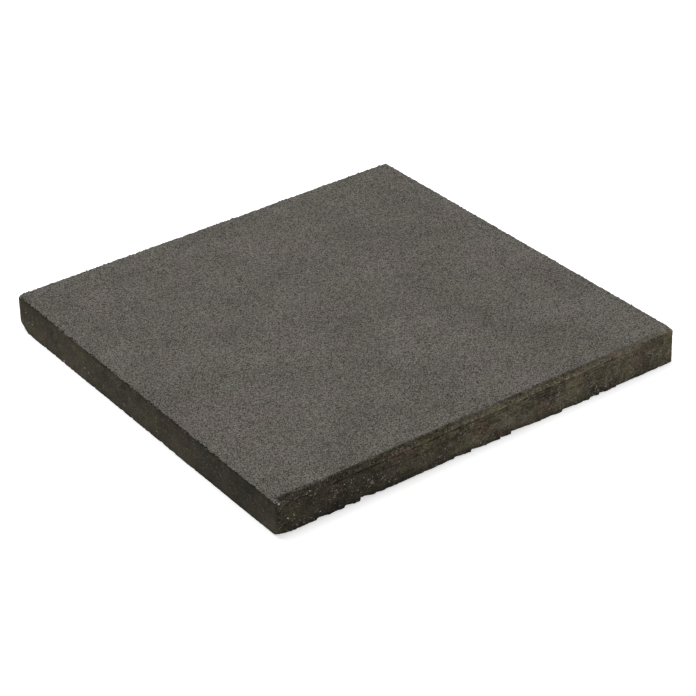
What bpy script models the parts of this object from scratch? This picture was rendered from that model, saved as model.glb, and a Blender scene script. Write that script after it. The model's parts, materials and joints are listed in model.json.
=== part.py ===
"""A stone slab to tool and stamp leather on.

A fine, sand-textured facing course lies on a coarser backing course, and the two are keyed
together along a shallow, wavy bond. Crushed stones are bedded in the sides of the backing,
and each shows at the face as a small flat patch. The origin is the centre of the
underside, with +Z up and the worn front face towards -Y.
"""

import math
import random

import bmesh
import bpy
from mathutils import Vector

# Driving dimensions, in metres.
SLAB_WIDTH = 0.305  # along X
SLAB_DEPTH = 0.305  # along Y
SLAB_THICKNESS = 0.025
FACING_THICKNESS = 0.009

# The bond between the two courses.
BOND_GAP = 0.0003
BOND_WAVE = 0.0007  # rise of a crest above the bond's mean height
BOND_PITCH = 0.047  # from one crest to the next
BOND_SLANT = (0.3, -0.2)  # how far the crests lean: along X for each step of Y, along Y for X
BOND_CELL = 0.0127  # spacing of the points that describe the bond

# Wear on the arrises.
FRONT_WEAR = 0.0032  # upper front arris, rubbed down by use
ARRIS_WEAR = 0.0007  # the other upper arrises
LOWER_WEAR = 0.0005  # the arrises of the underside
CORNER_WEAR = 0.0012  # the four upright corners
WEAR_SEGMENTS = 2

# Broken corners: how far each break reaches along X, Y and Z.
LOWER_BREAK = Vector((0.007, 0.010, 0.006))  # back left corner of the underside
UPPER_BREAK = Vector((0.006, 0.003, 0.003))  # front right corner of the top
BREAK_OVERSHOOT = 0.004  # how far the cutter's tip stands out beyond the corner
BREAK_SPREAD = 3  # how far the cutter's base spreads, in overshoots for each shortest reach

# Aggregate: the stones, and the cement that they sit in.
STONE_CORNERS = 16
STONE_HOLLOW = 0.82  # radius of the most sunken corner, as a share of the largest
POCKET_CLEARANCE = 0.0003
COVER = 0.0012  # least cement between a stone's pocket and the bond, underside or corner

# Each side's direction along it and its outward normal.
SIDES = {
    "front": (Vector((1, 0, 0)), Vector((0, -1, 0))),
    "left": (Vector((0, 1, 0)), Vector((-1, 0, 0))),
    "back": (Vector((1, 0, 0)), Vector((0, 1, 0))),
    "right": (Vector((0, 1, 0)), Vector((1, 0, 0))),
}

# Side, kind, place along the side and up the backing (0 to 1 between the covers),
# diameter, and depth of the stone's centre behind the face as a share of its radius.
STONES = (
    ("front", "grey", 0.07, 0.55, 0.0050, 0.80),
    ("front", "pale", 0.21, 0.85, 0.0044, 0.85),
    ("front", "rust", 0.47, 0.95, 0.0072, 0.35),
    ("front", "grey", 0.60, 0.90, 0.0064, 0.45),
    ("front", "rust", 0.84, 0.60, 0.0052, 0.75),
    ("left", "pale", 0.43, 0.30, 0.0048, 0.85),
    ("left", "grey", 0.56, 0.35, 0.0058, 0.60),
    ("left", "pale", 0.71, 0.60, 0.0046, 0.85),
    ("left", "pale", 0.96, 0.90, 0.0050, 0.80),
    ("back", "grey", 0.18, 0.40, 0.0060, 0.50),
    ("back", "pale", 0.52, 0.75, 0.0048, 0.80),
    ("back", "rust", 0.79, 0.30, 0.0056, 0.60),
    ("right", "pale", 0.13, 0.65, 0.0050, 0.75),
    ("right", "rust", 0.49, 0.35, 0.0060, 0.55),
    ("right", "grey", 0.86, 0.70, 0.0054, 0.60),
)

# Base colour and roughness of each material.
FINISHES = {
    "facing": ((0.128, 0.118, 0.104), 0.93),
    "backing": ((0.046, 0.041, 0.030), 0.90),
    "pale_stone": ((0.190, 0.178, 0.150), 0.75),
    "rust_stone": ((0.100, 0.072, 0.046), 0.80),
    "grey_stone": ((0.068, 0.066, 0.060), 0.75),
}

BACKING_THICKNESS = SLAB_THICKNESS - FACING_THICKNESS
HALF = Vector((SLAB_WIDTH / 2, SLAB_DEPTH / 2, 0))


def clear_scene():
    for item in list(bpy.data.objects):
        bpy.data.objects.remove(item, do_unlink=True)


def make_material(name):
    colour, roughness = FINISHES[name]
    made = bpy.data.materials.new(name)
    made.use_nodes = True
    shader = made.node_tree.nodes["Principled BSDF"]
    shader.inputs["Base Color"].default_value = (*colour, 1)
    shader.inputs["Roughness"].default_value = roughness
    shader.inputs["Metallic"].default_value = 0
    made.diffuse_color = (*colour, 1)
    return made


def add_object(name, bm, material=None):
    """Turns a bmesh into an object of the scene; one with no material is a cutter."""
    bmesh.ops.recalc_face_normals(bm, faces=bm.faces)
    mesh = bpy.data.meshes.new(name)
    bm.to_mesh(mesh)
    bm.free()
    made = bpy.data.objects.new(name, mesh)
    bpy.context.scene.collection.objects.link(made)
    if material:
        mesh.materials.append(material)
    else:
        made.hide_render = True
        made.display_type = "WIRE"
    return made


def even_steps(half, cell):
    """Evenly spaced values from -half to half, about one cell apart."""
    count = max(2, round(2 * half / cell))
    return [half * (2 * index / count - 1) for index in range(count + 1)]


def bond_rise(x, y):
    """Height of the bond above its mean: waves that cross each other at a slant."""
    turn = 2 * math.pi / BOND_PITCH
    lean_x, lean_y = BOND_SLANT
    return BOND_WAVE * math.sin(turn * (x + lean_x * y)) * math.cos(turn * (y + lean_y * x))


def add_course(name, material, flat_z, bond_z, arris_wear):
    """A course with a flat face at flat_z and a face that follows the bond at bond_z.

    arris_wear holds the wear of the flat face's front, right, back and left arris.
    """
    bm = bmesh.new()
    across = even_steps(HALF.x, BOND_CELL)
    along = even_steps(HALF.y, BOND_CELL)
    grid = [[bm.verts.new((x, y, bond_z + bond_rise(x, y))) for x in across] for y in along]
    for near, far in zip(grid, grid[1:]):
        for a, b, c, d in zip(near, near[1:], far[1:], far):
            bm.faces.new((a, b, c))
            bm.faces.new((a, c, d))

    turns = ((-1, -1), (1, -1), (1, 1), (-1, 1))
    corners = [bm.verts.new((i * HALF.x, j * HALF.y, flat_z)) for i, j in turns]
    bm.faces.new(corners)
    front = grid[0]
    right = [row[-1] for row in grid]
    back = grid[-1][::-1]
    left = [row[0] for row in grid][::-1]

    worn = bm.edges.layers.float.new("bevel_weight_edge")
    widest = max(*arris_wear, CORNER_WEAR)
    for index, rim in enumerate((front, right, back, left)):
        start = corners[index]
        end = corners[(index + 1) % 4]
        bm.faces.new([end, start, *rim])
        bm.edges.get((start, end))[worn] = arris_wear[index] / widest
        bm.edges.get((start, rim[0]))[worn] = CORNER_WEAR / widest

    course = add_object(name, bm, material)
    wear = course.modifiers.new("wear", "BEVEL")
    wear.limit_method = "WEIGHT"
    wear.width = widest
    wear.segments = WEAR_SEGMENTS
    return course


def cut(target, cutter):
    difference = target.modifiers.new(cutter.name, "BOOLEAN")
    difference.operation = "DIFFERENCE"
    difference.solver = "EXACT"
    difference.object = cutter


def break_corner(course, corner, reach):
    """Breaks off the corner along a plane that meets its three edges at reach from it."""
    inward = Vector([-math.copysign(1, value) for value in corner])
    ends = [Vector(corner) for _ in range(3)]
    for axis, end in enumerate(ends):
        end[axis] += inward[axis] * reach[axis]
    middle = sum(ends, Vector()) / 3
    tip = Vector(corner) - inward * BREAK_OVERSHOOT
    spread = 1 + BREAK_SPREAD * BREAK_OVERSHOOT / min(reach)
    bm = bmesh.new()
    points = [tip, *(middle + (end - middle) * spread for end in ends)]
    bmesh.ops.convex_hull(bm, input=[bm.verts.new(point) for point in points])
    cut(course, add_object(course.name + "_break", bm))


def crushed_stone(diameter, draw):
    """A bmesh of an angular stone about the origin, and the radius of its inner ball."""
    golden_angle = math.pi * (3 - math.sqrt(5))
    bm = bmesh.new()
    for index in range(STONE_CORNERS):
        height = 1 - (2 * index + 1) / STONE_CORNERS
        ring = math.sqrt(1 - height * height)
        turn = golden_angle * index
        corner = Vector((ring * math.cos(turn), ring * math.sin(turn), height))
        bm.verts.new(corner * diameter / 2 * draw.uniform(STONE_HOLLOW, 1))
    bmesh.ops.convex_hull(bm, input=bm.verts)
    bmesh.ops.recalc_face_normals(bm, faces=bm.faces)
    inner = min(face.normal.dot(face.verts[0].co) for face in bm.faces)
    return bm, inner


def stone_centre(side, share_along, share_up, diameter, sunk):
    """Where a stone lies, with its pocket inside the backing's covers."""
    along, outward = SIDES[side]
    keep = diameter / 2 + POCKET_CLEARANCE + COVER
    room_along = 2 * abs(along.dot(HALF)) - 2 * (keep + CORNER_WEAR)
    lowest = keep
    highest = BACKING_THICKNESS - BOND_WAVE - BOND_GAP - keep
    face = abs(outward.dot(HALF))
    centre = along * room_along * (share_along - 0.5)
    centre += outward * (face - sunk * diameter / 2)
    centre.z = lowest + share_up * (highest - lowest)
    return centre


def bed_stone(backing, name, row, seed):
    """Adds one stone, flush with its side of the slab, and cuts its pocket."""
    side, kind, share_along, share_up, diameter, sunk = row
    draw = random.Random(seed)
    outward = SIDES[side][1]
    centre = stone_centre(side, share_along, share_up, diameter, sunk)
    bm, inner = crushed_stone(diameter, draw)

    pocket = bm.copy()
    pocket_scale = 1 + POCKET_CLEARANCE / inner
    bmesh.ops.scale(pocket, verts=pocket.verts, vec=(pocket_scale,) * 3)
    bmesh.ops.translate(pocket, verts=pocket.verts, vec=centre)
    cut(backing, add_object(name + "_pocket", pocket))

    bmesh.ops.translate(bm, verts=bm.verts, vec=centre)
    whole = [*bm.verts, *bm.edges, *bm.faces]
    face_point = outward * abs(outward.dot(HALF))
    trimmed = bmesh.ops.bisect_plane(
        bm, geom=whole, plane_co=face_point, plane_no=outward, clear_outer=True
    )
    rim = [item for item in trimmed["geom_cut"] if isinstance(item, bmesh.types.BMEdge)]
    bmesh.ops.edgeloop_fill(bm, edges=rim)
    return add_object(name, bm, bpy.data.materials[kind + "_stone"])


def build_slab():
    clear_scene()
    for name in FINISHES:
        make_material(name)

    facing = add_course(
        "facing_course",
        bpy.data.materials["facing"],
        SLAB_THICKNESS,
        BACKING_THICKNESS,
        (FRONT_WEAR, ARRIS_WEAR, ARRIS_WEAR, ARRIS_WEAR),
    )
    backing = add_course(
        "backing_course",
        bpy.data.materials["backing"],
        0,
        BACKING_THICKNESS - BOND_GAP,
        (LOWER_WEAR,) * 4,
    )
    break_corner(facing, (HALF.x, -HALF.y, SLAB_THICKNESS), UPPER_BREAK)
    break_corner(backing, (-HALF.x, HALF.y, 0), LOWER_BREAK)

    numbers = dict.fromkeys(SIDES, 0)
    for seed, row in enumerate(STONES):
        side = row[0]
        numbers[side] += 1
        bed_stone(backing, f"aggregate_{side}_{numbers[side]}", row, seed)


build_slab()
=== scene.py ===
"""Looks of the stone slab: two pressed courses, the crushed stones that show, and loose grains.

Each course is a closed shell woven from rings that follow the slab's outline. Its arrises are
worn, chipped and crumbled, its sides carry the layers of the pressing, and every surface has a
procedural stone material.
"""

import json
import math

import bmesh
import bpy
import numpy as np
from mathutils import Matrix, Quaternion, Vector, noise
from mathutils.bvhtree import BVHTree


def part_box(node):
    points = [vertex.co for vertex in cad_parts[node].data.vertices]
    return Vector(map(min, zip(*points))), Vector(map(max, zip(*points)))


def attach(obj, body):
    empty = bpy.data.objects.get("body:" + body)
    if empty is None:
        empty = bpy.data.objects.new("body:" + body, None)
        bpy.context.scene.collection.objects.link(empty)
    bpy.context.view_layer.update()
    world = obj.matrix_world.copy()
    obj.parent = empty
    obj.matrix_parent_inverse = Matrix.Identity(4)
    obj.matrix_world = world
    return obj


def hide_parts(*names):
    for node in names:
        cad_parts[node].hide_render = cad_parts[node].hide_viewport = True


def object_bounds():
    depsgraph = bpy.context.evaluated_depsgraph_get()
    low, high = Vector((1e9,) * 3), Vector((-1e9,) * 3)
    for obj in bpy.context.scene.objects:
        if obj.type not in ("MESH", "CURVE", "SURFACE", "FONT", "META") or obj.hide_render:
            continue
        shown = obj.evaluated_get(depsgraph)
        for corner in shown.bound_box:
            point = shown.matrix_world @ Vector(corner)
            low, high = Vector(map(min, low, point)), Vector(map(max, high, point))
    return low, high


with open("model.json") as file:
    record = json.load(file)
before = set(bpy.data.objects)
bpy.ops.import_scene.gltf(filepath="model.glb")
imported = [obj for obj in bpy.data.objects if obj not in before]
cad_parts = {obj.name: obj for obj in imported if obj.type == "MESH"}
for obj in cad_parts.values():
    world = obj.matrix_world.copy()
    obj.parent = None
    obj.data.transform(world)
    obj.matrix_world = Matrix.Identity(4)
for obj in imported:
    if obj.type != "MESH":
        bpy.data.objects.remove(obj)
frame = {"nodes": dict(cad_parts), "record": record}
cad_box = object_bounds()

MM = 0.001

# The slab, from the frame.
LOW = np.array(cad_box[0])
HIGH = np.array(cad_box[1])
CENTRE = (LOW + HIGH) / 2
HALF = (HIGH - LOW)[:2] / 2
WIDTH = 2 * HALF[0]
TOP = HIGH[2]
BASE = LOW[2]
BACKING_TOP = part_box("backing_course")[1].z
FACING_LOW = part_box("facing_course")[0].z
BASE_COLOURS = {row["slot"]: row["base_color"] for row in frame["record"]["materials"]}

# Each side's direction along it and its outward normal.
SIDE_AXES = {
    "front": (np.array((1.0, 0, 0)), np.array((0, -1.0, 0))),
    "right": (np.array((0, 1.0, 0)), np.array((1.0, 0, 0))),
    "back": (np.array((1.0, 0, 0)), np.array((0, 1.0, 0))),
    "left": (np.array((0, 1.0, 0)), np.array((-1.0, 0, 0))),
}

# The bond between the two courses.
BOND_HEIGHT = (BACKING_TOP + FACING_LOW) / 2
BOND_WAVE = 0.7 * MM
BOND_PITCH = 47 * MM
BOND_SLANT = (0.3, -0.2)
BOND_SEAM = 0.05 * MM

# How finely the shells are woven.
PER_SIDE = 507  # points along each side of the outline
FINE_CELLS = 169  # cells along each side of the working face
COARSE_CELLS = 39  # cells along each side of a hidden face
FACING_SIDE_ROWS = 14
BACKING_SIDE_ROWS = 27
BORDER_ROWS = 10
BORDER = 8 * MM
BORDER_GAP = 1.4 * MM  # from the border's last ring to the cells of the working face
UNDERSIDE_ROWS = 4
UNDERSIDE_BORDER = 7.5 * MM
UNDERSIDE_GAP = 1.5 * MM
BOND_RING = 2 * MM  # how far inside the slab the ring lies that closes a course at the bond
BOND_BORDER = 8 * MM
CORNER_WEAR = 1.2 * MM
SMALLEST_RADIUS = 0.02 * MM

# Wear of the upper arrises: how far it reaches in over the top, and down the side.
ARRIS_REACH = 0.65 * MM
ARRIS_DROP = 0.6 * MM
BAND_REACH = 3.9 * MM
BAND_FLARE = 1.3 * MM  # how much wider it is near the front left corner
BAND_FLARE_SPAN = (10 * MM, 36 * MM)
BAND_DROP = 2.7 * MM
LOWER_ARRIS = 0.7 * MM
LEFT_LOWER_ARRIS = 0.3 * MM
# How much shade is painted along the lower arris and at the foot of the sides.
LOWER_PAINTED_SHADE = 0.9
PAINTED_SHADE_RISE = 8  # how suddenly the painted shade sets in towards the foot
NOTCH_SPREAD = 1.3  # how deep a notch runs in, for its height
NOTCH_STEPS = (0.15, 0.5, 0.85)  # shares of a notch at the rings of its slope

# Noises that make the arrises ragged: kind, size in millimetres, amount, octaves and shift.
RAGGED_BAND = (
    ("lumps", 16, 0.16, 3, 5.0),
    ("blocks", 7.5, 0.20, 1, 0.0),
    ("blocks", 1.4, 0.12, 1, 0.0),
)
CRUMBLED_UPPER = (("blocks", 1.5, 1.3, 1, 0.3), ("lumps", 4, 0.5, 2, 9.0))
CRUMBLED_LOWER = (("blocks", 1.6, 1.0, 1, 0.7), ("lumps", 5, 0.6, 2, 3.0))

# The left side is slightly twisted: how far its foot stands out at the back, and its head at
# the front, and how deep inside the slab that ends.
FOOT_LEAN = 0.8 * MM
HEAD_LEAN = 1.2 * MM
LEAN_DEPTH = 14 * MM

# Profiles of an arris from the side to the top: shares of its reach and its drop, and how
# much shade is painted there (lighter below 0). The worn one is a ledge below a steep little step.
ROUND_ARRIS = (
    (0.00, 1.00, 0.9),
    (0.03, 0.72, 0.7),
    (0.12, 0.48, 0.3),
    (0.28, 0.28, 0.0),
    (0.50, 0.13, 0.0),
    (0.75, 0.04, 0.0),
    (1.00, 0.00, 0.0),
)
WORN_ARRIS = (
    (0.00, 1.00, -0.7),
    (0.02, 0.84, -0.9),
    (0.16, 0.66, -0.3),
    (0.42, 0.50, 0.1),
    (0.70, 0.42, 0.2),
    (0.90, 0.58, 1.0),
    (1.00, 0.00, 0.5),
)

# Where the front band starts, and where it fades, from the front left corner.
BAND_START = (2.2 * MM, 4.2 * MM)
BAND_FADE = (215 * MM, 285 * MM)
BAND_LEFT_AT_END = 0.15

# Broken corners: the corner's place as signs of X and Y, its height, and its reach along X, Y
# and Z in millimetres.
LOWER_BREAK = ((-1, 1), BASE, (7, 10, 6))
UPPER_BREAK = ((1, -1), TOP, (15, 7.5, 1.6))
LEFT_BREAK = ((-1, 1), TOP, (4, 3.5, 2))
FRONT_BREAK = ((-1, -1), BASE, (16, 6, 3.4))
FRONT_WEDGE = ((-1, -1), BASE, (5, 42, 1.0))
RIGHT_WEDGE = ((1, -1), BASE, (34, 4, 0.8))
BREAK_ROUGHNESS = 0.25 * MM
BREAK_GRAIN = 1.5 * MM

# Chips of each arris: side, height, how many, and the ranges of their radii and depths in
# millimetres.
UPPER_CHIPS = (
    ("front", TOP, 40, (1.0, 2.4), (0.2, 0.7)),
    ("left", TOP, 130, (0.8, 1.7), (0.4, 1.1)),
    ("back", TOP, 90, (0.9, 2.4), (0.2, 0.8)),
    ("right", TOP, 70, (0.9, 2.4), (0.2, 0.7)),
)
LOWER_CHIPS = (
    ("front", BASE, 60, (1.2, 3.6), (0.3, 1.1)),
    ("left", BASE, 40, (1.0, 3.0), (0.2, 0.6)),
    ("back", BASE, 50, (1.2, 3.2), (0.2, 0.9)),
    ("right", BASE, 50, (1.2, 3.2), (0.2, 0.9)),
)
CHIP_TILT = (0.15, 1.35)  # how far a chip's direction turns from level, in radians

# Lumps that stand out from the sides: where, size along X, Y and Z and how far they stand out,
# in millimetres, octaves and shift.
SIDE_LUMPS = (
    ("sides", (32, 32, 32), 0.28, 3, 1.0),
    ("rough sides", (4.5, 4.5, 4.5), 0.16, 3, 4.0),
    ("rough sides", (1.6, 1.6, 1.1), 0.10, 2, 6.0),
    ("left", (3, 3, 14), 0.07, 2, 8.0),
    ("front", (26, 26, 1.5), 0.16, 2, 3.0),
)
LEFT_ROUGHNESS = 0.4  # how rough the left side is, as a share of the others
SIDE_GRIT = 0.035 * MM
BAND_GRIT = 0.10 * MM
TOP_SWELL = 0.05 * MM
FULL_RELIEF = 0.4 * MM  # relief that the materials shade as 1

# Layers of the pressing that show on a side, in millimetres: depth below the top, half width,
# how deep the groove is (a ridge is negative), and the stretch along the side where it shows.
LAYERS = (
    ("front", 3.4, 0.40, 0.55, 4, 258),
    ("front", 2.4, 0.35, -0.22, 4, 250),
    ("front", 4.4, 0.35, -0.24, 30, 270),
    ("front", 5.4, 0.32, 0.46, 140, 262),
    ("front", 6.4, 0.35, -0.28, 150, 250),
    ("front", 7.4, 0.34, 0.50, 160, 275),
    ("front", 8.3, 0.35, -0.20, 150, 250),
    ("front", 9.3, 0.45, 0.36, 40, 215),
    ("front", 11.0, 0.45, 0.28, 150, 240),
    ("front", 13.0, 0.45, 0.24, 175, 262),
    ("left", 1.2, 0.50, 0.22, 0, 305),
    ("back", 7.0, 0.40, 0.28, 30, 240),
    ("back", 9.4, 0.40, 0.22, 90, 280),
    ("right", 6.2, 0.40, 0.24, 60, 200),
)

# How the layers sway up and down, in millimetres; the columns are those of the noises above.
LAYER_SWAY = (("lumps", (30, 30, 60), 0.55, 2, 7.0), ("lumps", (3.4, 3.4, 60), 0.26, 2, 15.0))

# Burrs of squeezed-out mix under the front side, in millimetres: place along it, length and
# how far they stand out. Each ends abruptly on its right.
BURRS = (
    (24, 6.0, 0.5),
    (43, 7.0, 0.8),
    (53, 10.0, 1.1),
    (66, 5.0, 0.8),
    (136, 9.0, 0.7),
    (151, 5.0, 0.6),
    (159, 9.0, 0.8),
    (169, 5.0, 0.7),
    (208, 9.0, 0.8),
    (222, 6.0, 0.5),
    (234, 7.0, 0.8),
    (241, 4.0, 0.6),
)

# Notches in the lower front arris, in millimetres: where each starts abruptly, how far to
# its right it runs out, and how high it reaches.
NOTCHES = (
    (-1, 330, 1.25),
    (27, 9, 1.0),
    (46.5, 7, 1.0),
    (58, 12, 2.0),
    (69, 6, 0.8),
    (128, 10, 0.8),
    (141, 8, 1.3),
    (163.5, 5, 0.7),
    (172, 24, 1.5),
    (213, 16, 0.9),
    (238, 6, 0.9),
    (243.5, 7, 1.7),
    (257, 70, 0.6),
)

# Pale grains that catch the eye: side, place along it, height and size, all in millimetres. On
# the top the two places are along X and Y.
PALE_GRAINS = (
    ("front", 23.0, 23.3, 1.1),
    ("front", 47.0, 17.6, 1.0),
    ("front", 52.0, 18.5, 0.8),
    ("front", 11.0, 12.2, 1.0),
    ("front", 6.5, 12.0, 1.5),
    ("front", 29.0, 6.7, 1.2),
    ("front", 15.0, 6.9, 0.9),
    ("front", 66.0, 10.5, 1.1),
    ("front", 1.1, 24.1, 1.7),
    ("left", 246.0, 2.5, 1.6),
    ("left", 96.0, 12.0, 0.9),
    ("top", 30.6, 105.1, 1.5),
    ("top", 30.9, 102.1, 1.4),
    ("left", 295.0, 16.2, 1.5),
    ("left", 218.0, 10.4, 1.5),
)

# Crumbs on the upper arrises: side, how many, how far in, smallest size and spread of sizes,
# in millimetres.
CRUMBS = (
    ("left", 130, 0.6, 0.5, 1.1),
    ("back", 150, 0.6, 0.6, 1.3),
    ("right", 90, 0.6, 0.6, 1.0),
    ("front", 170, 3.2, 0.35, 0.7),
)
CRUMB_SPAN = (0.004, 0.996)  # shares of the side where they may cling
CRUMB_LEAN = (0.2, 1.0)  # from where they come: 0 is level, 1 is straight down
GRAIN_STRETCH = (0.6, 1.0)
GRAIN_JAG = (0.75, 1.1)
SETTLE_REACH = 6 * MM

# Crushed stones: how their facets are pitted and their corners knocked off, as size and depth.
STONE_CUTS = 3
STONE_SMOOTHING = 0.35
STONE_KNOCKS = (2.6 * MM, 0.25 * MM)
STONE_PITS = (0.9 * MM, 0.12 * MM)
STONE_STANDS_OUT = 0.1 * MM
MERGE_WITHIN = 0.005 * MM
STONE_SMEAR = 0.85  # share of cement on a stone
GRAIN_SMEAR = 0.2
GRAIN_LIGHT = 2.0  # how much lighter a pale grain is than a pale stone

# Beds of the stones in the backing.
BED_LIP = 1.15  # how much wider a stone is than the part of it that the cement leaves bare
BED_DEPTH = 0.4 * MM
BED_REACH = 1.5 * MM

# Seeds of the random draws.
FACING_SEED = 11
BACKING_SEED = 12
CRUMB_PLACE_SEED = 21
CRUMB_SEED = 22
PALE_SEED = 23

# Colours.
# The sides' colour is the backing's, made warmer: the warm tint of their shade painted in.
SIDE_BASE = np.array(BASE_COLOURS["backing"]) * (1.0, 0.962, 0.88)
OLIVE = (0.048, 0.043, 0.0235)
RED_BROWN = (0.054, 0.0385, 0.027)
BROKEN_TAN = (0.150, 0.112, 0.070)
TOP_WARM = (0.137, 0.115, 0.104)
TOP_OLIVE = (0.122, 0.121, 0.094)
FACING_BROKEN = 0.8  # share of the tan speckle where a corner of the course is broken off
BACKING_BROKEN = 0.25

# Painted light and shade of the sides: at the front's foot, and how high up that ends; at the
# left side's foot and head, and at its front and back; along the front, by distance in slab widths.
FRONT_FOOT = 0.70
FRONT_FOOT_ENDS = 0.45
LEFT_FOOT_AND_HEAD = (1.12, 0.86)
ALONG_LEFT = (0.635, 0.94)
ALONG_FRONT = ((0.12, 0.52), (0.60, 1.24))
FRONT_END = ((0.75, 1.0), (0.95, 1.04))

# Noises of the sides' tone: size, detail, roughness, shift, darkest and lightest.
SIDE_CLOUD = (11 * MM, 3.0, 0.6, 13.0, -0.30, 0.34)
SIDE_BLOTCH = (4.5 * MM, 4.0, 0.65, 5.0, -0.34, 0.36)
SIDE_SMALL = (1.1 * MM, 3.0, 0.7, 7.0, -0.42, 0.42)
LEFT_COARSENESS = 0.6  # how strong they are on the left and right sides
LEFT_SPECKS = 0.5
# Pale specks of the sides: size, how rare they are, how strong, and shift.
SIDE_SPECKS = ((1.5 * MM, 0.86, 0.80, 3.0), (0.9 * MM, 0.83, 1.0, 16.0))

# Camera.
CAMERA_AIM = np.array((-0.07131, -0.13390, 0))  # from the centre of the top, in slab widths
CAMERA_DISTANCE = 4.5551  # from the aim, in slab widths
CAMERA_TURN = math.radians(-34.746)
CAMERA_RISE = math.radians(31.294)
CAMERA_ROLL = math.radians(-2.281)
CAMERA_LENS = 113.893
CAMERA_SENSOR = 36
CAMERA_SEES_TO = 100

# Softboxes: name, place, size and power.
SOFTBOXES = (
    ("overhead", (-0.1, 0.5, 1.9), 1.6, 26),
    ("front_right", (0.62, -0.70, 0.16), 0.45, 2.4),
)
FLOOR_REACH = 12.0
FLOOR_GREY = 0.86
# Glow of the floor near the slab and far from it: distance and strength.
FLOOR_GLOW_NEAR = (0.7, 0.58)
FLOOR_GLOW_FAR = (2.2, 0.95)
# Glow of the dome at the horizon and overhead: height of the direction and strength.
HORIZON_GLOW = (0.12, 1.1)
DOME_GLOW = (0.22, 0.30)


def smooth(low, high, values):
    """0 below low, 1 above high, and an S-curve in between."""
    share = np.clip((values - low) / (high - low), 0, 1)
    return share * share * (3 - 2 * share)


def lumps(points, size, octaves=2, shift=0.0):
    """Smooth noise from about -1 to 1 with lumps of that size; size may differ along X, Y and Z."""
    places = (points / np.asarray(size) + shift).tolist()
    return np.array([noise.fractal(place, 1.0, 2.0, octaves) for place in places])


def blocks(points, size, shift=0.0):
    """Stepped noise from 0 to 1 that is the same all over each block of that size."""
    places = (points / np.asarray(size) + shift).tolist()
    return np.array([noise.cell(place) for place in places]) * 0.5 + 0.5


def layered(points, layers):
    """The sum of a table's noises, around 0."""
    total = np.zeros(len(points))
    for kind, size, amount, octaves, shift in layers:
        size = np.array(size) * MM
        if kind == "blocks":
            total += (blocks(points, size, shift) - 0.5) * amount
        else:
            total += lumps(points, size, octaves, shift) * amount
    return total


def add_object(name, data):
    """A new object in the scene."""
    made = bpy.data.objects.new(name, data)
    bpy.context.scene.collection.objects.link(made)
    return made


# Outline and rings

def unit_outline():
    """The outline of a square from -1 to 1, anticlockwise from its front left corner."""
    step = np.linspace(-1, 1, PER_SIDE, endpoint=False)
    one = np.ones(PER_SIDE)
    sides = ((step, -one), (one, step), (-step, one), (-one, -step))
    return np.concatenate([np.column_stack(side) for side in sides])


SQUARE = unit_outline()


def outline(inset):
    """Points on the slab's outline at an inset, which may differ from point to point."""
    inset = np.broadcast_to(inset, len(SQUARE))[:, None]
    half = HALF - inset
    radius = np.maximum(CORNER_WEAR - inset, SMALLEST_RADIUS)
    square = SQUARE * half
    core = np.clip(square, radius - half, half - radius)
    away = square - core
    return core + away * radius / np.linalg.norm(away, axis=1, keepdims=True)


def ring(inset, height):
    """One closed ring of points round the slab."""
    flat = outline(inset)
    return np.column_stack((flat + CENTRE[:2], np.broadcast_to(height, len(flat))))


def bond_height(points):
    """Height of the bond under each point."""
    turn = 2 * math.pi / BOND_PITCH
    x, y = points[:, 0], points[:, 1]
    slant_x, slant_y = BOND_SLANT
    wave = BOND_WAVE * np.sin(turn * (x + slant_x * y)) * np.cos(turn * (y + slant_y * x))
    return BOND_HEIGHT + wave


class Shell:
    """Points and faces of a closed shell, woven ring by ring."""

    def __init__(self):
        self.points = []
        self.painted_shade = []
        self.faces = []
        self.count = 0

    def add(self, points, painted_shade=0.0):
        """Adds points, with painted shade above 0 and made lighter below, and returns their
        numbers.
        """
        numbers = np.arange(self.count, self.count + len(points))
        self.points.append(points)
        self.painted_shade.append(np.broadcast_to(painted_shade, len(points)))
        self.count += len(points)
        return numbers

    def wall(self, lower, upper):
        """Quads between two rings, facing outward when upper is above lower."""
        faces = np.column_stack((lower, np.roll(lower, -1), np.roll(upper, -1), upper))
        self.faces.extend(faces.tolist())

    def weave(self, edge, rings, upward=True):
        """Weaves rings, each with its painted shade, one by one onto an edge ring; returns the
        last.
        """
        for points, painted_shade in rings:
            current = self.add(points, painted_shade)
            self.wall(*((edge, current) if upward else (current, edge)))
            edge = current
        return edge

    def cap(self, rim, cells, inset, height_of, upward=True):
        """Closes a ring with a grid of cells; several rim points share each grid point."""
        places = np.linspace(-1, 1, cells + 1)
        grid_x, grid_y = np.meshgrid(places * (HALF[0] - inset), places * (HALF[1] - inset))
        flat = np.zeros((grid_x.size, 3))
        flat[:, 0] = grid_x.ravel() + CENTRE[0]
        flat[:, 1] = grid_y.ravel() + CENTRE[1]
        flat[:, 2] = height_of(flat)
        grid = self.add(flat).reshape(cells + 1, cells + 1)
        faces = np.stack((grid[:-1, :-1], grid[:-1, 1:], grid[1:, 1:], grid[1:, :-1]), axis=-1)
        made = faces.reshape(-1, 4).tolist()
        edge = [*grid[0, :-1], *grid[:-1, -1], *grid[-1, :0:-1], *grid[:0:-1, 0]]
        share = len(rim) // len(edge)
        for index, near in enumerate(edge):
            far = edge[(index + 1) % len(edge)]
            fine = [rim[(index * share + step) % len(rim)] for step in range(share + 1)]
            middle = share // 2
            for step in range(share):
                made.append((fine[step], fine[step + 1], near if step < middle else far))
            made.append((fine[middle], far, near))
        self.faces.extend(made if upward else [tuple(reversed(face)) for face in made])

    def build(self, name):
        mesh = bpy.data.meshes.new(name)
        faces = [[int(corner) for corner in face] for face in self.faces]
        mesh.from_pydata(np.concatenate(self.points).tolist(), [], faces)
        made = add_object(name, mesh)
        # Stores each point's painted shade for the materials to read.
        write_values(made, "painted_shade", np.concatenate(self.painted_shade))
        return made


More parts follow.
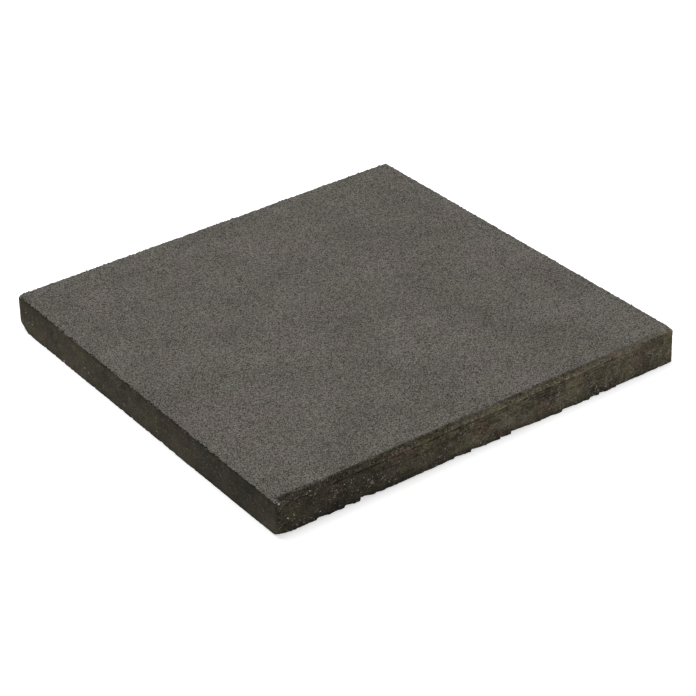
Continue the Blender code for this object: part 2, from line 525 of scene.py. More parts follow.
def read_vectors(rows, key):
    flat = np.empty(len(rows) * 3)
    rows.foreach_get(key, flat)
    return flat.reshape(-1, 3)


def read_points(piece):
    return read_vectors(piece.data.vertices, "co")


def write_points(piece, points):
    piece.data.vertices.foreach_set("co", points.ravel())
    piece.data.update()


def tree_of(piece):
    """A search tree of a piece's faces."""
    faces = [face.vertices for face in piece.data.polygons]
    return BVHTree.FromPolygons(read_points(piece).tolist(), faces)


def write_values(piece, name, values):
    """Stores one number per point for the material to read."""
    piece.data.attributes.new(name, "FLOAT", "POINT").data.foreach_set("value", values)


# Courses

def from_corner():
    """Distance of each outline point from the front left corner, along the front side."""
    return SQUARE[:, 0] * HALF[0] + HALF[0]


def band_reach(along):
    """How far the worn band reaches in over the top, at a distance from the front left corner."""
    return BAND_REACH + BAND_FLARE * (1 - smooth(*BAND_FLARE_SPAN, along))


def band_weight():
    """1 where the front arris is worn to a band, 0 where an arris is only blunted."""
    along = from_corner()
    starts = smooth(*BAND_START, along)
    fades = 1 - (1 - BAND_LEFT_AT_END) * smooth(*BAND_FADE, along)
    ends = 1 - smooth(2 * HALF[0] - BAND_START[1], 2 * HALF[0] - BAND_START[0], along)
    on_front = np.arange(len(SQUARE)) < PER_SIDE
    return np.where(on_front, starts * fades * ends, 0)


def close_at_bond(shell, edge, offset, upward):
    """Closes a course along the bond, from its edge ring inward."""
    height = bond_height(ring(BOND_RING, 0)) + offset
    inner = shell.weave(edge, [(ring(BOND_RING, height), 0)], upward)
    shell.cap(inner, COARSE_CELLS, BOND_BORDER, lambda points: bond_height(points) + offset, upward)


def weave_facing():
    """The facing course: up its side, over its worn arris and across the working face."""
    shell = Shell()
    edge = ring(0, 0)
    band = band_weight()
    ragged = layered(edge, RAGGED_BAND)
    crumbled = layered(edge, CRUMBLED_UPPER)
    worn_reach = band * (band_reach(from_corner()) - ARRIS_REACH) * (1 + ragged)
    worn_drop = band * (BAND_DROP - ARRIS_DROP) * (1 + 0.5 * ragged)
    reach = ARRIS_REACH * (1 + crumbled) + worn_reach
    drop = ARRIS_DROP * (1 + crumbled) + worn_drop
    patchy = smooth(-0.5, 0.4, lumps(edge, (3 * MM, 3 * MM, MM), 3, 17.0))
    bond = bond_height(edge) + BOND_SEAM / 2
    shoulder = TOP - drop

    first = shell.add(ring(0, bond))
    rings = []
    for row in range(1, FACING_SIDE_ROWS):
        rings.append((ring(0, bond + (shoulder - bond) * row / FACING_SIDE_ROWS), 0))
    for blunt, worn in zip(ROUND_ARRIS, WORN_ARRIS):
        inset, down, painted_shade = (one + (other - one) * band for one, other in zip(blunt, worn))
        # Each arris ring carries its profile's painted shade, made patchy, and is lighter where
        # that is below 0.
        rings.append((ring(reach * inset, TOP - drop * down), patchy * painted_shade))
    for row in range(1, BORDER_ROWS + 1):
        rings.append((ring(reach + (BORDER - reach) * row / BORDER_ROWS, TOP), 0))
    shell.cap(shell.weave(first, rings), FINE_CELLS, BORDER + BORDER_GAP, lambda points: TOP)
    close_at_bond(shell, first, BOND_SEAM / 2, upward=False)
    return shell.build("facing_stone")


def notch_height():
    """How far the notches reach up the front side at each outline point."""
    along = from_corner() / MM
    height = np.zeros(len(SQUARE))
    for start, length, reach in NOTCHES:
        share = (along - start) / length
        height += np.where(share > 0, reach * (1 - smooth(0, 1, share)), 0)
    return np.where(np.arange(len(SQUARE)) < PER_SIDE, height * MM, 0)


def weave_backing():
    """The backing course: down its side, round its notched foot and across the underside."""
    shell = Shell()
    edge = ring(0, 0)
    on_left = np.arange(len(SQUARE)) >= 3 * PER_SIDE
    arris = np.where(on_left, LEFT_LOWER_ARRIS, LOWER_ARRIS) * (1 + layered(edge, CRUMBLED_LOWER))
    notch = notch_height()
    bond = bond_height(edge) - BOND_SEAM / 2

    first = shell.add(ring(0, bond))
    rings = []
    for row in range(1, BACKING_SIDE_ROWS + 1):
        share = row / BACKING_SIDE_ROWS
        height = bond + (BASE + arris + notch - bond) * share
        # Painted shade that sets in towards the foot of the side.
        rings.append((ring(0, height), LOWER_PAINTED_SHADE * share**PAINTED_SHADE_RISE))
    for (blunt_inset, blunt_height, _), share in zip(ROUND_ARRIS[1::2], NOTCH_STEPS):
        inset = arris * blunt_inset + NOTCH_SPREAD * notch * share
        height = BASE + arris * blunt_height + notch * (1 - share)
        # The lower arris carries the full painted shade.
        rings.append((ring(inset, height), LOWER_PAINTED_SHADE))
    reach = arris + NOTCH_SPREAD * notch
    for row in range(1, UNDERSIDE_ROWS + 1):
        rings.append((ring(reach + (UNDERSIDE_BORDER - reach) * row / UNDERSIDE_ROWS, BASE), 0))
    last = shell.weave(first, rings, upward=False)
    inset = UNDERSIDE_BORDER + UNDERSIDE_GAP
    shell.cap(last, COARSE_CELLS, inset, lambda points: BASE, upward=False)
    close_at_bond(shell, first, -BOND_SEAM / 2, upward=True)
    return shell.build("backing_stone")


# Wear and relief

def break_corner(points, signs, height, reach):
    """Pushes every point beyond a broken corner's plane back onto it, roughened.

    Returns the points, and which of them were pushed.
    """
    corner = np.array((*(CENTRE[:2] + HALF * signs), height))
    inward = np.array((-signs[0], -signs[1], 1 if height == BASE else -1))
    ends = [corner + inward * reach * axis * MM for axis in np.eye(3)]
    outward = np.cross(ends[1] - ends[0], ends[2] - ends[0])
    outward *= np.sign(outward @ (corner - ends[0])) / np.linalg.norm(outward)
    rough = BREAK_ROUGHNESS * lumps(points, BREAK_GRAIN, 3, 2.0)
    beyond = (points - ends[0]) @ outward + rough
    return points - np.maximum(beyond, 0)[:, None] * outward, beyond > 0


def scoop(points, centre, radius):
    """Chips out what lies inside a ball, onto the ball's own surface."""
    near = np.nonzero(np.all(np.abs(points - centre) < radius, axis=1))[0]
    away = points[near] - centre
    distance = np.linalg.norm(away, axis=1, keepdims=True)
    inside = distance[:, 0] < radius
    points[near[inside]] = centre + away[inside] * radius / distance[inside]


def chip_arris(points, draw, side, height, count, radii, depths):
    """Knocks chips out of one side's upper or lower arris."""
    outward = SIDE_AXES[side][1]
    lift = 1 if height == TOP else -1
    for _ in range(count):
        radius = draw.uniform(*radii) * MM
        depth = draw.uniform(*depths) * MM
        share = draw.uniform(0, 1)
        tilt = draw.uniform(*CHIP_TILT)
        place = side_point(side, share, height)
        lean = outward * math.cos(tilt) + np.array((0, 0, lift)) * math.sin(tilt)
        scoop(points, place + lean * (radius - depth), radius)


def side_point(side, share, height):
    """A point on a side's face, at a share along it and a height."""
    along, outward = SIDE_AXES[side]
    place = along * (2 * share - 1) + outward
    return np.array((*(CENTRE[:2] + place[:2] * HALF), height))


def on_sides(normals):
    """1 where the surface is a side of the slab, 0 where it is its top or underside."""
    return 1 - smooth(0.25, 0.7, np.abs(normals[:, 2]))


def side_relief(points, normals):
    """How far the sides stand out: long waves, lumps and the layers of the pressing."""
    sides = on_sides(normals)
    left = sides * smooth(0.5, 0.9, -normals[:, 0])
    shares = {
        "sides": sides,
        "rough sides": sides * (1 - (1 - LEFT_ROUGHNESS) * left),
        "left": left,
        "front": sides * smooth(0.5, 0.9, -normals[:, 1]),
    }
    relief = np.zeros(len(points))
    for where, size, stands_out, octaves, shift in SIDE_LUMPS:
        bumps = lumps(points, np.array(size) * MM, octaves, shift)
        relief += stands_out * MM * bumps * shares[where]

    depth = (TOP - points[:, 2]) / MM
    sway = layered(points, LAYER_SWAY)
    for side, below, width, deep, begin, end in LAYERS:
        axis, outward = SIDE_AXES[side]
        along = (points - LOW) @ axis / MM
        shows = smooth(begin - 6, begin + 6, along) * (1 - smooth(end - 9, end + 9, along))
        shows *= sides * smooth(0.5, 0.9, normals @ outward)
        shows *= 0.1 + 0.9 * smooth(-0.30, 0.25, lumps(points, (6 * MM, 6 * MM, 40 * MM), 3, below))
        relief -= deep * MM * shows * np.exp(-(((depth - below - sway) / width) ** 2))
    return relief


def burr_relief(points, normals):
    """How far burrs of squeezed-out mix stand out along the lower arris of the front side."""
    along = (points[:, 0] - LOW[0]) / MM
    up = (points[:, 2] - BASE) / MM
    at_front = smooth(0.3, 0.8, -normals[:, 1])
    total = 0.16 * np.maximum(lumps(points, (3.2 * MM, 9 * MM, 9 * MM), 3, 12.0), 0)
    for place, length, stands in BURRS:
        share = (along - place + length / 2) / length
        tongue = np.where(share < 1, smooth(0, 0.7, share), 0)
        total = np.maximum(total, tongue * stands)
    return total * MM * at_front * (1 - smooth(0.2, 1.7, up))


def finish_course(piece, chips, breaks, seed):
    """Roughens, chips and breaks a woven course, and shades it."""
    draw = np.random.default_rng(seed)
    points = read_points(piece)
    normals = read_vectors(piece.data.vertex_normals, "vector")
    relief = side_relief(points, normals)
    near_bond = smooth(0.2 * MM, 1.0 * MM, np.abs(points[:, 2] - bond_height(points)))
    in_band = band_of(points)
    grit = draw.normal(0, 1, len(points))
    sides = on_sides(normals)
    on_top = (1 - sides) * (points[:, 2] > TOP - 0.1 * MM)
    relief += SIDE_GRIT * np.clip(grit, -2, 2) * sides * near_bond
    relief += BAND_GRIT * np.clip(grit, -2, 2.5) * in_band
    relief += TOP_SWELL * lumps(points, 35 * MM, 2, 11.0) * on_top
    start = points.copy()
    points = points + normals * relief[:, None]
    points[:, 1] -= burr_relief(start, normals)
    for row in chips:
        chip_arris(points, draw, *row)
    broken = np.zeros(len(points))
    for signs, height, reach in breaks:
        points, freshly = break_corner(points, signs, height, reach)
        broken[freshly] = 1
    points[:, 2] = np.maximum(points[:, 2], BASE)
    write_points(piece, points)
    moved = np.einsum("ij,ij->i", points - start, normals)
    write_values(piece, "relief", np.clip(moved / FULL_RELIEF, -1.5, 1.5))
    write_values(piece, "band", in_band)
    write_values(piece, "broken", broken)
    piece.data.shade_smooth()


def lean_out(piece):
    """Twists the left side of the slab slightly out of true."""
    points = read_points(piece)
    head = (points[:, 2] - BASE) / (TOP - BASE)
    back = (points[:, 1] - LOW[1]) / WIDTH
    lean = FOOT_LEAN * (1 - head) * back + HEAD_LEAN * head * (1 - back)
    points[:, 0] -= lean * (1 - smooth(0, LEAN_DEPTH, points[:, 0] - LOW[0]))
    write_points(piece, points)


def band_of(points):
    """1 inside the worn band of the front arris."""
    depth = TOP - points[:, 2]
    along = points[:, 0] - LOW[0]
    inset = (points[:, 1] - LOW[1]) / band_reach(along)
    inside = (1 - smooth(0.8, 1.1, inset)) * (1 - smooth(2.2 * MM, 3.0 * MM, depth))
    return inside * smooth(*BAND_START, along) * (1 - 0.5 * smooth(*BAND_FADE, along))


# Crushed stones and grains

def stone_names():
    return sorted(name for name in frame["nodes"] if name.startswith("aggregate_"))


def solid_of(name):
    """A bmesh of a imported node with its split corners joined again."""
    bm = bmesh.new()
    bm.from_mesh(frame["nodes"][name].data)
    bmesh.ops.remove_doubles(bm, verts=bm.verts, dist=MERGE_WITHIN)
    return bm


def side_of(name):
    return name.split("_")[1]


def make_stone(name, material, seed):
    """A crushed stone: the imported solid, its facets pitted and its corners knocked off."""
    bm = solid_of(name)
    bmesh.ops.subdivide_edges(bm, edges=bm.edges, cuts=STONE_CUTS, use_grid_fill=True)
    bmesh.ops.triangulate(bm, faces=bm.faces)
    every_axis = {"use_axis_x": True, "use_axis_y": True, "use_axis_z": True}
    bmesh.ops.smooth_vert(bm, verts=bm.verts, factor=STONE_SMOOTHING, **every_axis)
    bm.normal_update()
    outward = Vector(SIDE_AXES[side_of(name)][1])
    shift = Vector((seed, 0, 0))
    for vert in bm.verts:
        knocked = noise.fractal(vert.co / STONE_KNOCKS[0] + shift, 1.0, 2.0, 2) * STONE_KNOCKS[1]
        pitted = noise.fractal(vert.co / STONE_PITS[0] + shift, 1.0, 2.0, 3) * STONE_PITS[1]
        vert.co += vert.normal * (pitted + knocked) + outward * STONE_STANDS_OUT
    mesh = bpy.data.meshes.new(name + "_stone")
    bm.to_mesh(mesh)
    bm.free()
    mesh.shade_smooth()
    mesh.materials.append(material)
    return add_object(name + "_stone", mesh)


def sink_beds(backing):
    """Dimples the backing's wall under the middle of each bedded stone, so that the stone shows."""
    points = read_points(backing)
    for name in stone_names():
        outward = SIDE_AXES[side_of(name)][1]
        face = outward @ (CENTRE + np.array((*HALF, 0)) * outward)
        low, high = (np.array(corner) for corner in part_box(name))
        middle = (low + high) / 2
        bm = solid_of(name)
        tree = BVHTree.FromBMesh(bm)
        bm.free()
        reach = (high - low).max()
        across = np.abs(points - middle) * (1 - np.abs(outward))
        depth = face - points @ outward
        spread = np.abs(outward) + (1 - np.abs(outward)) * BED_LIP
        for index in np.nonzero(np.all(across < reach, axis=1) & (np.abs(depth) < BED_REACH))[0]:
            place = middle + (points[index] - middle) * spread
            if tree.ray_cast(Vector(place - outward * 3 * reach), Vector(outward), 4 * reach)[0]:
                points[index] -= outward * (BED_DEPTH - depth[index])
    write_points(backing, points)


def grain_points(template, place, size, draw):
    """A grain's points: the template stretched, turned and put in its place."""
    turn = Quaternion(draw.normal(0, 1, 4)).normalized().to_matrix()
    stretch = draw.uniform(*GRAIN_STRETCH, 3)
    return (template * stretch * size) @ np.array(turn) + place


def grain_template():
    """Points and faces of a ball of few faces, 1 across."""
    bm = bmesh.new()
    bmesh.ops.create_icosphere(bm, subdivisions=1, radius=0.5)
    points = np.array([vert.co for vert in bm.verts])
    faces = [[vert.index for vert in face.verts] for face in bm.faces]
    bm.free()
    return points, faces


def scatter_grains(name, places, sizes, seed, material):
    """Small angular grains as one piece, each a closed solid half sunk in the stone."""
    draw = np.random.default_rng(seed)
    template, faces = grain_template()
    points = []
    made_faces = []
    tones = []
    for index, (place, size) in enumerate(zip(places, sizes)):
        jagged = template * draw.uniform(*GRAIN_JAG, (len(template), 1))
        points.append(grain_points(jagged, place, size, draw))
        made_faces.extend([corner + index * len(template) for corner in face] for face in faces)
        tones.extend([draw.uniform(0, 1)] * len(template))
    mesh = bpy.data.meshes.new(name)
    mesh.from_pydata(np.concatenate(points).tolist(), [], made_faces)
    mesh.materials.append(material)
    made = add_object(name, mesh)
    write_values(made, "tone", np.array(tones))
    return made


def settle(tree, target, direction):
    """Where something that comes in that direction towards the target meets the slab."""
    direction = Vector(direction).normalized()
    hit = tree.ray_cast(Vector(target) - direction * SETTLE_REACH, direction, 2 * SETTLE_REACH)[0]
    return np.array(hit or target)


def pale_places(trees):
    """Places of the pale grains, on the surface of their course."""
    places = []
    for side, first, second, _ in PALE_GRAINS:
        if side == "top":
            target = np.array((LOW[0] + first * MM, LOW[1] + second * MM, TOP))
            places.append(settle(trees["facing"], target, (0, 0, -1)))
        else:
            target = side_point(side, first * MM / WIDTH, BASE + second * MM)
            course = "facing" if target[2] > BOND_HEIGHT else "backing"
            places.append(settle(trees[course], target, -SIDE_AXES[side][1]))
    return places


def crumb_places(tree, draw, side, count, inset):
    """Places where crumbs cling to one side's upper arris, no deeper in than the inset."""
    outward = SIDE_AXES[side][1]
    places = []
    for _ in range(count):
        target = side_point(side, draw.uniform(*CRUMB_SPAN), TOP)
        target -= outward * draw.uniform(0, inset) * MM
        lean = draw.uniform(*CRUMB_LEAN)
        direction = -outward * (1 - lean) - np.array((0, 0, lean))
        places.append(settle(tree, target, direction))
    return places


# Materials

class Nodes:
    """A new material's node tree, with short calls for the nodes that the stones use."""

    def __init__(self, name):
        self.material = bpy.data.materials.new(name)
        self.material.use_nodes = True
        self.tree = self.material.node_tree
        self.shader = self.tree.nodes["Principled BSDF"]
        self.coords = self.add("ShaderNodeTexCoord").outputs["Object"]

    def add(self, kind, inputs=None, **settings):
        node = self.tree.nodes.new(kind)
        for key, value in settings.items():
            setattr(node, key, value)
        for key, value in (inputs or {}).items():
            self.put(node.inputs[key], value)
        return node

    def put(self, socket, value):
        if isinstance(value, bpy.types.NodeSocket):
            self.tree.links.new(value, socket)
        else:
            socket.default_value = value

    def noise(self, size, detail=2.0, rough=0.5, shift=0.0):
        """Smooth noise from 0 to 1 with lumps of that size."""
        settings = {"Scale": 1 / size, "Detail": detail, "Roughness": rough, "W": shift}
        settings["Vector"] = self.coords
        return self.add("ShaderNodeTexNoise", settings, noise_dimensions="4D").outputs["Fac"]

    def grains(self, size, shift=0.0):
        """A number from 0 to 1 for each grain of that size, and the distance from its middle."""
        coords = self.coords
        if shift:
            offset = {0: coords, 1: (shift, shift, shift)}
            coords = self.add("ShaderNodeVectorMath", offset, operation="ADD").outputs[0]
        node = self.add("ShaderNodeTexVoronoi", {"Vector": coords, "Scale": 1 / size})
        tone = self.add("ShaderNodeSeparateColor", {0: node.outputs["Color"]}).outputs[0]
        return tone, node.outputs["Distance"]

    def math(self, operation, first, second=0.0, third=0.0):
        inputs = {0: first, 1: second, 2: third}
        return self.add("ShaderNodeMath", inputs, operation=operation).outputs[0]

    def span(self, value, low, high, to_low=0.0, to_high=1.0, kind="SMOOTHSTEP"):
        """Maps low..high to to_low..to_high."""
        inputs = {"Value": value, "From Min": low, "From Max": high}
        inputs.update({"To Min": to_low, "To Max": to_high})
        return self.add("ShaderNodeMapRange", inputs, interpolation_type=kind).outputs[0]

    def product(self, *values):
        """The product of several numbers."""
        total = values[0]
        for value in values[1:]:
            total = self.math("MULTIPLY", total, value)
        return total

    def noisy(self, size, detail, rough, shift, darkest, lightest):
        """Smooth noise with lumps of that size, from the darkest to the lightest."""
        value = self.noise(size, detail, rough, shift)
        return self.span(value, 0.3, 0.7, darkest, lightest, "LINEAR")

    def mix(self, share, first, second):
        node = self.add("ShaderNodeMix", data_type="RGBA", clamp_factor=True)
        for place, value in ((0, share), (6, first), (7, second)):
            self.put(node.inputs[place], value)
        return node.outputs[2]

    def tinted(self, colour, strength):
        """A colour multiplied by a number."""
        inputs = {0: colour, 3: strength}
        return self.add("ShaderNodeVectorMath", inputs, operation="SCALE").outputs[0]

    def axis(self, vector, index):
        """One of a vector's three numbers."""
        return self.add("ShaderNodeSeparateXYZ", {0: vector}).outputs[index]

    def bump(self, height, distance, strength=1.0, normal=None):
        inputs = {"Height": height, "Distance": distance, "Strength": strength}
        node = self.add("ShaderNodeBump", inputs)
        if normal:
            self.tree.links.new(normal, node.inputs["Normal"])
        return node.outputs[0]

    def attribute(self, name):
        return self.add("ShaderNodeAttribute", attribute_name=name).outputs["Fac"]

    def finish(self, colour, roughness, normal, specular=0.12):
        self.put(self.shader.inputs["Base Color"], colour)
        self.put(self.shader.inputs["Roughness"], roughness)
        self.put(self.shader.inputs["Normal"], normal)
        self.shader.inputs["Specular IOR Level"].default_value = specular
        return self.material


def rgba(colour, factor=1.0):
    """A colour for a socket, made lighter or darker by a factor."""
    return (*(channel * factor for channel in colour), 1.0)


def sideways(nodes, at_front=0.0, at_left=1.0):
    """One number at the front and back sides, another at the left and right sides."""
    normal = nodes.add("ShaderNodeNewGeometry").outputs["Normal"]
    turned = nodes.math("ABSOLUTE", nodes.axis(normal, 0))
    return nodes.span(turned, 0.4, 0.8, at_front, at_left)


def painted_side_shading(nodes):
    """Painted light and shade on the sides at each place, whatever their grain."""
    height = nodes.axis(nodes.coords, 2)
    low_front = nodes.span(height, BASE, BASE + FRONT_FOOT_ENDS * (TOP - BASE), FRONT_FOOT, 1.0)
    low_left = nodes.span(height, BASE, TOP, *LEFT_FOOT_AND_HEAD)
    inputs = {0: nodes.coords, 1: (LOW[0], LOW[1], BASE)}
    away = nodes.add("ShaderNodeVectorMath", inputs, operation="DISTANCE").outputs["Value"]
    along_left = nodes.span(away, 0, WIDTH, *ALONG_LEFT, "LINEAR")
    front = low_front
    for (near, near_light), (far, far_light) in (ALONG_FRONT, FRONT_END):
        along = nodes.span(away, near * WIDTH, far * WIDTH, near_light, far_light)
        front = nodes.product(front, along)
    left = nodes.product(low_left, along_left)
    return nodes.add("ShaderNodeMix", {0: sideways(nodes), 2: front, 3: left}).outputs[0]


def side_look(nodes):
    """Colour of the sides: dark, mottled olive and red-brown, with pale and dark grains."""
    patches = nodes.noise(17 * MM, 3.0, 0.55, shift=2.0)
    colour = nodes.mix(nodes.span(patches, 0.54, 0.66), rgba(SIDE_BASE), rgba(RED_BROWN))
    colour = nodes.mix(nodes.span(patches, 0.47, 0.35), colour, rgba(OLIVE))

    coarse = sideways(nodes, 1.0, LEFT_COARSENESS)
    cloud, blotch, small = (nodes.noisy(*row) for row in (SIDE_CLOUD, SIDE_BLOTCH, SIDE_SMALL))
    fine, _ = nodes.grains(0.62 * MM)
    fine = nodes.span(fine, 0, 1, -0.50, 0.50, "LINEAR")
    grain = nodes.math("ADD", nodes.math("ADD", cloud, blotch), nodes.math("ADD", small, fine))
    tone = nodes.math("MULTIPLY_ADD", grain, coarse, 1.0)
    tone = nodes.math("MAXIMUM", tone, 0.2)
    band = nodes.attribute("band")
    # Lighter in the worn band.
    band_lightening = nodes.span(band, 0, 1, 1.0, 1.38, "LINEAR")
    sand, _ = nodes.grains(0.55 * MM, shift=14.0)
    sand = nodes.product(nodes.span(sand, 0, 1, -0.55, 0.55, "LINEAR"), band)
    sand = nodes.math("ADD", sand, 1.0)
    # Painted shade in the hollows and grooves of the relief, and painted light where it stands out.
    painted_relief_shading = nodes.span(nodes.attribute("relief"), -0.8, 0.5, 0.5, 1.2, "LINEAR")
    # Painted shade along the arrises and at the foot; lighter where the value is below 0.
    painted_shade = nodes.span(nodes.attribute("painted_shade"), -1, 1, 1.5, 0.5, "LINEAR")
    tone = nodes.product(tone, band_lightening, sand, painted_side_shading(nodes), painted_relief_shading, painted_shade)
    colour = nodes.tinted(colour, tone)

    where = nodes.span(nodes.noise(9 * MM, 2.0, shift=9.0), 0.40, 0.60)
    strength = nodes.span(coarse, LEFT_COARSENESS, 1.0, LEFT_SPECKS, 1.0, "LINEAR")
    for size, least, share, shift in SIDE_SPECKS:
        speck, middle = nodes.grains(size, shift=shift)
        middle = nodes.math("ADD", middle, nodes.span(small, -0.4, 0.4, -0.14, 0.14, "LINEAR"))
        chosen = nodes.span(speck, least, least + 0.08, 0, share)
        pale = nodes.product(chosen, where, nodes.span(middle, 0.48, 0.28), strength)
        colour = nodes.mix(pale, colour, rgba(BASE_COLOURS["pale_stone"], 0.9))
    return colour


def broken_look(nodes, colour, share):
    """Lays the tan speckle of broken stone over a colour where a corner is broken off."""
    crystal, _ = nodes.grains(0.9 * MM, shift=6.0)
    pale = rgba(BASE_COLOURS["pale_stone"])
    fresh = nodes.mix(nodes.span(crystal, 0.3, 0.7), rgba(BROKEN_TAN, 0.6), pale)
    return nodes.mix(nodes.product(nodes.attribute("broken"), share), colour, fresh)


def top_look(nodes):
    """Colour of the working face: salt-and-pepper sand in dark warm grey cement."""
    base = BASE_COLOURS["facing"]
    patches = nodes.noise(26 * MM, 3.0, 0.5, shift=1.0)
    colour = nodes.mix(nodes.span(patches, 0.52, 0.70, 0, 0.5), rgba(base), rgba(TOP_WARM))
    colour = nodes.mix(nodes.span(patches, 0.48, 0.32, 0, 0.5), colour, rgba(TOP_OLIVE))
    coarse, _ = nodes.grains(0.8 * MM, shift=4.0)
    fine, _ = nodes.grains(0.5 * MM)
    tone = nodes.product(
        nodes.span(coarse, 0, 1, 0.88, 1.06, "LINEAR"),
        nodes.span(fine, 0, 1, 0.12, 1.88, "LINEAR"),
        nodes.noisy(34 * MM, 4.0, 0.6, 8.0, 0.865, 1.135),
        # Painted shade on the top where the arrises carry it.
        nodes.span(nodes.attribute("painted_shade"), 0, 1, 1.0, 0.6, "LINEAR"),
    )
    colour = nodes.tinted(colour, tone)
    speck, middle = nodes.grains(1.4 * MM, shift=5.0)
    inside = nodes.span(middle, 0.5, 0.3)
    light = nodes.product(nodes.span(speck, 0.960, 0.965, 0, 0.7), inside)
    colour = nodes.mix(light, colour, rgba(BASE_COLOURS["pale_stone"], 1.3))
    dark = nodes.product(nodes.span(speck, 0.040, 0.035, 0, 0.6), inside)
    return nodes.mix(dark, colour, rgba(base, 0.4))


def stone_bump(nodes):
    """Relief of sand and cement, finer than the mesh."""
    _, rounded = nodes.grains(0.6 * MM)
    rough = nodes.noise(0.4 * MM, 3.0, 0.7, shift=3.0)
    coarse = nodes.bump(rounded, 0.09 * MM, 0.8)
    return nodes.bump(rough, 0.08 * MM, 0.8, coarse)


def facing_material():
    nodes = Nodes("facing_sandy")
    upward = nodes.axis(nodes.add("ShaderNodeNewGeometry").outputs["Normal"], 2)
    ragged = nodes.math("ADD", upward, nodes.noisy(1.2 * MM, 2.0, 0.5, 0.0, -0.12, 0.12))
    off_band = nodes.math("SUBTRACT", 1.0, nodes.attribute("band"))
    # Faces turned up take the top's colour and the rest the sides' darker colour, so the facing's
    # sides are partly darkened by painted shade.
    on_top = nodes.product(nodes.span(ragged, 0.62, 0.86), off_band)
    colour = nodes.mix(on_top, side_look(nodes), top_look(nodes))
    colour = broken_look(nodes, colour, FACING_BROKEN)
    roughness = nodes.noisy(2 * MM, 3.0, 0.5, 0.0, 0.84, 0.98)
    return nodes.finish(colour, roughness, stone_bump(nodes))


def backing_material():
    nodes = Nodes("backing_mottled")
    colour = broken_look(nodes, side_look(nodes), BACKING_BROKEN)
    roughness = nodes.noisy(2 * MM, 3.0, 0.5, 0.0, 0.8, 0.96)
    return nodes.finish(colour, roughness, stone_bump(nodes))


def stone_material(slot, name, smear, light=1.0):
    """Crushed stone: crystals of its own colour, pitted, and smeared with that share of cement."""
    nodes = Nodes(name)
    base = np.array(BASE_COLOURS[slot]) * light
    crystal, edge = nodes.grains(0.8 * MM)
    cloud = nodes.noise(1.8 * MM, 4.0, 0.65)
    cloud = nodes.span(cloud, 0.3, 0.7, 0.7, 1.25)
    tone = nodes.product(nodes.span(crystal, 0, 1, 0.6, 1.3), cloud)
    smeared = nodes.span(nodes.noise(1.3 * MM, 3.0, 0.6, shift=4.0), 0.42, 0.60, 0, smear)
    colour = nodes.mix(smeared, rgba(base), rgba(BASE_COLOURS["backing"]))
    colour = nodes.tinted(colour, tone)
    roughness = nodes.span(crystal, 0, 1, 0.6, 0.9)
    return nodes.finish(colour, roughness, nodes.bump(edge, 0.1 * MM))


def grain_material():
    """Loose grains: each has its own tone between the cement's and a pale stone's."""
    nodes = Nodes("sand_grains")
    tone = nodes.attribute("tone")
    pale = rgba(BASE_COLOURS["pale_stone"], 1.1)
    colour = nodes.mix(nodes.span(tone, 0.3, 1.0), rgba(BASE_COLOURS["facing"], 0.8), pale)
    colour = nodes.tinted(colour, nodes.span(nodes.noise(0.4 * MM, 3.0), 0.3, 0.7, 0.7, 1.3))
    roughness = nodes.span(tone, 0, 1, 0.7, 0.95)
    return nodes.finish(colour, roughness, nodes.bump(nodes.noise(0.25 * MM, 2.0), 0.05 * MM))


# Stage

def add_camera():
    top_centre = np.array((CENTRE[0], CENTRE[1], TOP))
    aim = Vector(top_centre + CAMERA_AIM * WIDTH)
    level = math.cos(CAMERA_RISE)
    flat = (level * math.sin(CAMERA_TURN), -level * math.cos(CAMERA_TURN))
    away = Vector((*flat, math.sin(CAMERA_RISE)))
    data = bpy.data.cameras.new("camera")
    data.lens = CAMERA_LENS
    data.sensor_width = CAMERA_SENSOR
    data.clip_end = CAMERA_SEES_TO
    camera = add_object("camera", data)
    camera.location = aim + away * CAMERA_DISTANCE * WIDTH
    facing = (-away).to_track_quat("-Z", "Y") @ Quaternion((0, 0, 1), CAMERA_ROLL)
    camera.rotation_euler = facing.to_euler()
    bpy.context.scene.camera = camera


def add_softbox(name, place, size, power):
    data = bpy.data.lights.new(name, "AREA")
    data.shape = "SQUARE"
    data.size = size
    data.energy = power
    light = add_object(name, data)
    light.location = place
    light.rotation_euler = (Vector(CENTRE) - Vector(place)).to_track_quat("-Z", "Y").to_euler()


def glow_ramp(tree, place, first, second):
    """A strength that goes from the first place and strength to the second."""
    ramp = tree.nodes.new("ShaderNodeMapRange")
    ramp.interpolation_type = "SMOOTHSTEP"
    tree.links.new(place, ramp.inputs["Value"])
    settings = zip(("From Min", "To Min", "From Max", "To Max"), (*first, *second))
    for key, value in settings:
        ramp.inputs[key].default_value = value
    return ramp.outputs[0]


def add_floor():
    """A pale matt floor that glows more further away, so that it ends up as white as the dome."""
    mesh = bpy.data.meshes.new("floor")
    signs = ((-1, -1), (1, -1), (1, 1), (-1, 1))
    corners = [(x * FLOOR_REACH, y * FLOOR_REACH, BASE) for x, y in signs]
    mesh.from_pydata(corners, [], [(0, 1, 2, 3)])
    floor = add_object("floor", mesh)
    material = bpy.data.materials.new("pale_floor")
    material.use_nodes = True
    tree = material.node_tree
    shader = tree.nodes["Principled BSDF"]
    shader.inputs["Base Color"].default_value = (FLOOR_GREY, FLOOR_GREY, FLOOR_GREY, 1)
    shader.inputs["Roughness"].default_value = 0.9
    shader.inputs["Specular IOR Level"].default_value = 0.1
    shader.inputs["Emission Color"].default_value = (1, 1, 1, 1)
    away = tree.nodes.new("ShaderNodeVectorMath")
    away.operation = "LENGTH"
    tree.links.new(tree.nodes.new("ShaderNodeTexCoord").outputs["Object"], away.inputs[0])
    glow = glow_ramp(tree, away.outputs["Value"], FLOOR_GLOW_NEAR, FLOOR_GLOW_FAR)
    tree.links.new(glow, shader.inputs["Emission Strength"])
    mesh.materials.append(material)


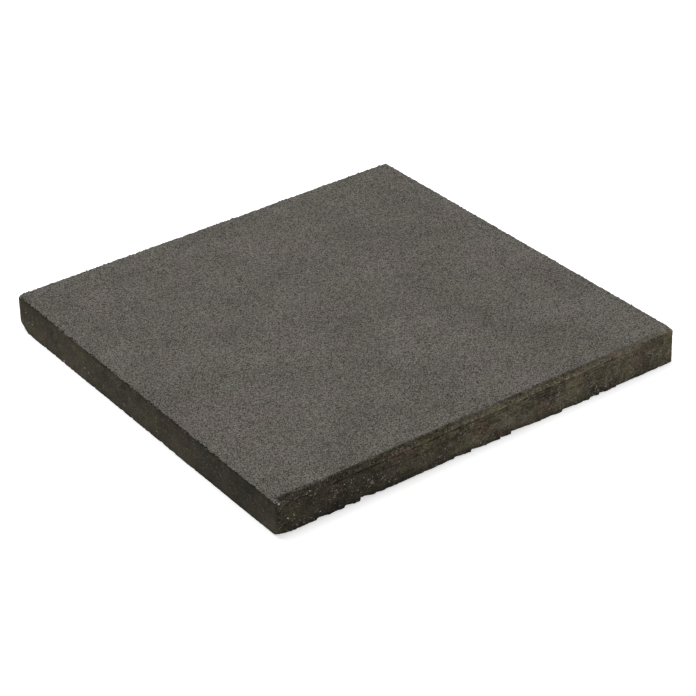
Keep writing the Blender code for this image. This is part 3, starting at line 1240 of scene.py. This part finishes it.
def add_world():
    """An even studio dome, white at the horizon where it meets the floor."""
    world = bpy.data.worlds.new("studio")
    world.use_nodes = True
    tree = world.node_tree
    direction = tree.nodes.new("ShaderNodeTexCoord").outputs["Generated"]
    split = tree.nodes.new("ShaderNodeSeparateXYZ")
    tree.links.new(direction, split.inputs[0])
    background = tree.nodes["Background"]
    background.inputs["Color"].default_value = (1, 1, 1, 1)
    glow = glow_ramp(tree, split.outputs[2], HORIZON_GLOW, DOME_GLOW)
    tree.links.new(glow, background.inputs["Strength"])
    bpy.context.scene.world = world


def set_stage():
    add_camera()
    add_floor()
    add_world()
    for softbox in SOFTBOXES:
        add_softbox(*softbox)
    bpy.context.scene.view_settings.view_transform = "Standard"


def keep(piece, slot, *nodes):
    """Rides a finished piece on the slab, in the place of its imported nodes."""
    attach(piece, "root")
    if nodes:
        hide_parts(*nodes)


def build_slab():
    facing = weave_facing()
    facing.data.materials.append(facing_material())
    finish_course(facing, UPPER_CHIPS, [UPPER_BREAK, LEFT_BREAK], FACING_SEED)
    lean_out(facing)
    keep(facing, "facing", "facing_course")

    backing = weave_backing()
    backing.data.materials.append(backing_material())
    breaks = [LOWER_BREAK, FRONT_BREAK, FRONT_WEDGE, RIGHT_WEDGE]
    finish_course(backing, LOWER_CHIPS, breaks, BACKING_SEED)
    sink_beds(backing)
    lean_out(backing)
    keep(backing, "backing", "backing_course")

    slots = {row["node"]: row["material_slot"] for row in frame["record"]["subparts"]}
    stones = {}
    for slot in ("pale_stone", "rust_stone", "grey_stone"):
        stones[slot] = stone_material(slot, slot + "_crushed", STONE_SMEAR)
    for seed, name in enumerate(stone_names()):
        stone = make_stone(name, stones[slots[name]], seed)
        lean_out(stone)
        keep(stone, slots[name], name)

    trees = {"facing": tree_of(facing), "backing": tree_of(backing)}
    draw = np.random.default_rng(CRUMB_PLACE_SEED)
    places = []
    sizes = []
    for side, count, inset, least, spread in CRUMBS:
        places += crumb_places(trees["facing"], draw, side, count, inset)
        sizes += [(least + spread * draw.uniform(0, 1) ** 2) * MM for _ in range(count)]
    crumbs = scatter_grains("arris_crumbs", places, sizes, CRUMB_SEED, grain_material())
    keep(crumbs, "facing")
    sizes = [row[3] * MM for row in PALE_GRAINS]
    material = stone_material("pale_stone", "pale_grain", GRAIN_SMEAR, GRAIN_LIGHT)
    grains = scatter_grains("pale_grains", pale_places(trees), sizes, PALE_SEED, material)
    keep(grains, "pale_stone")


set_stage()
build_slab()
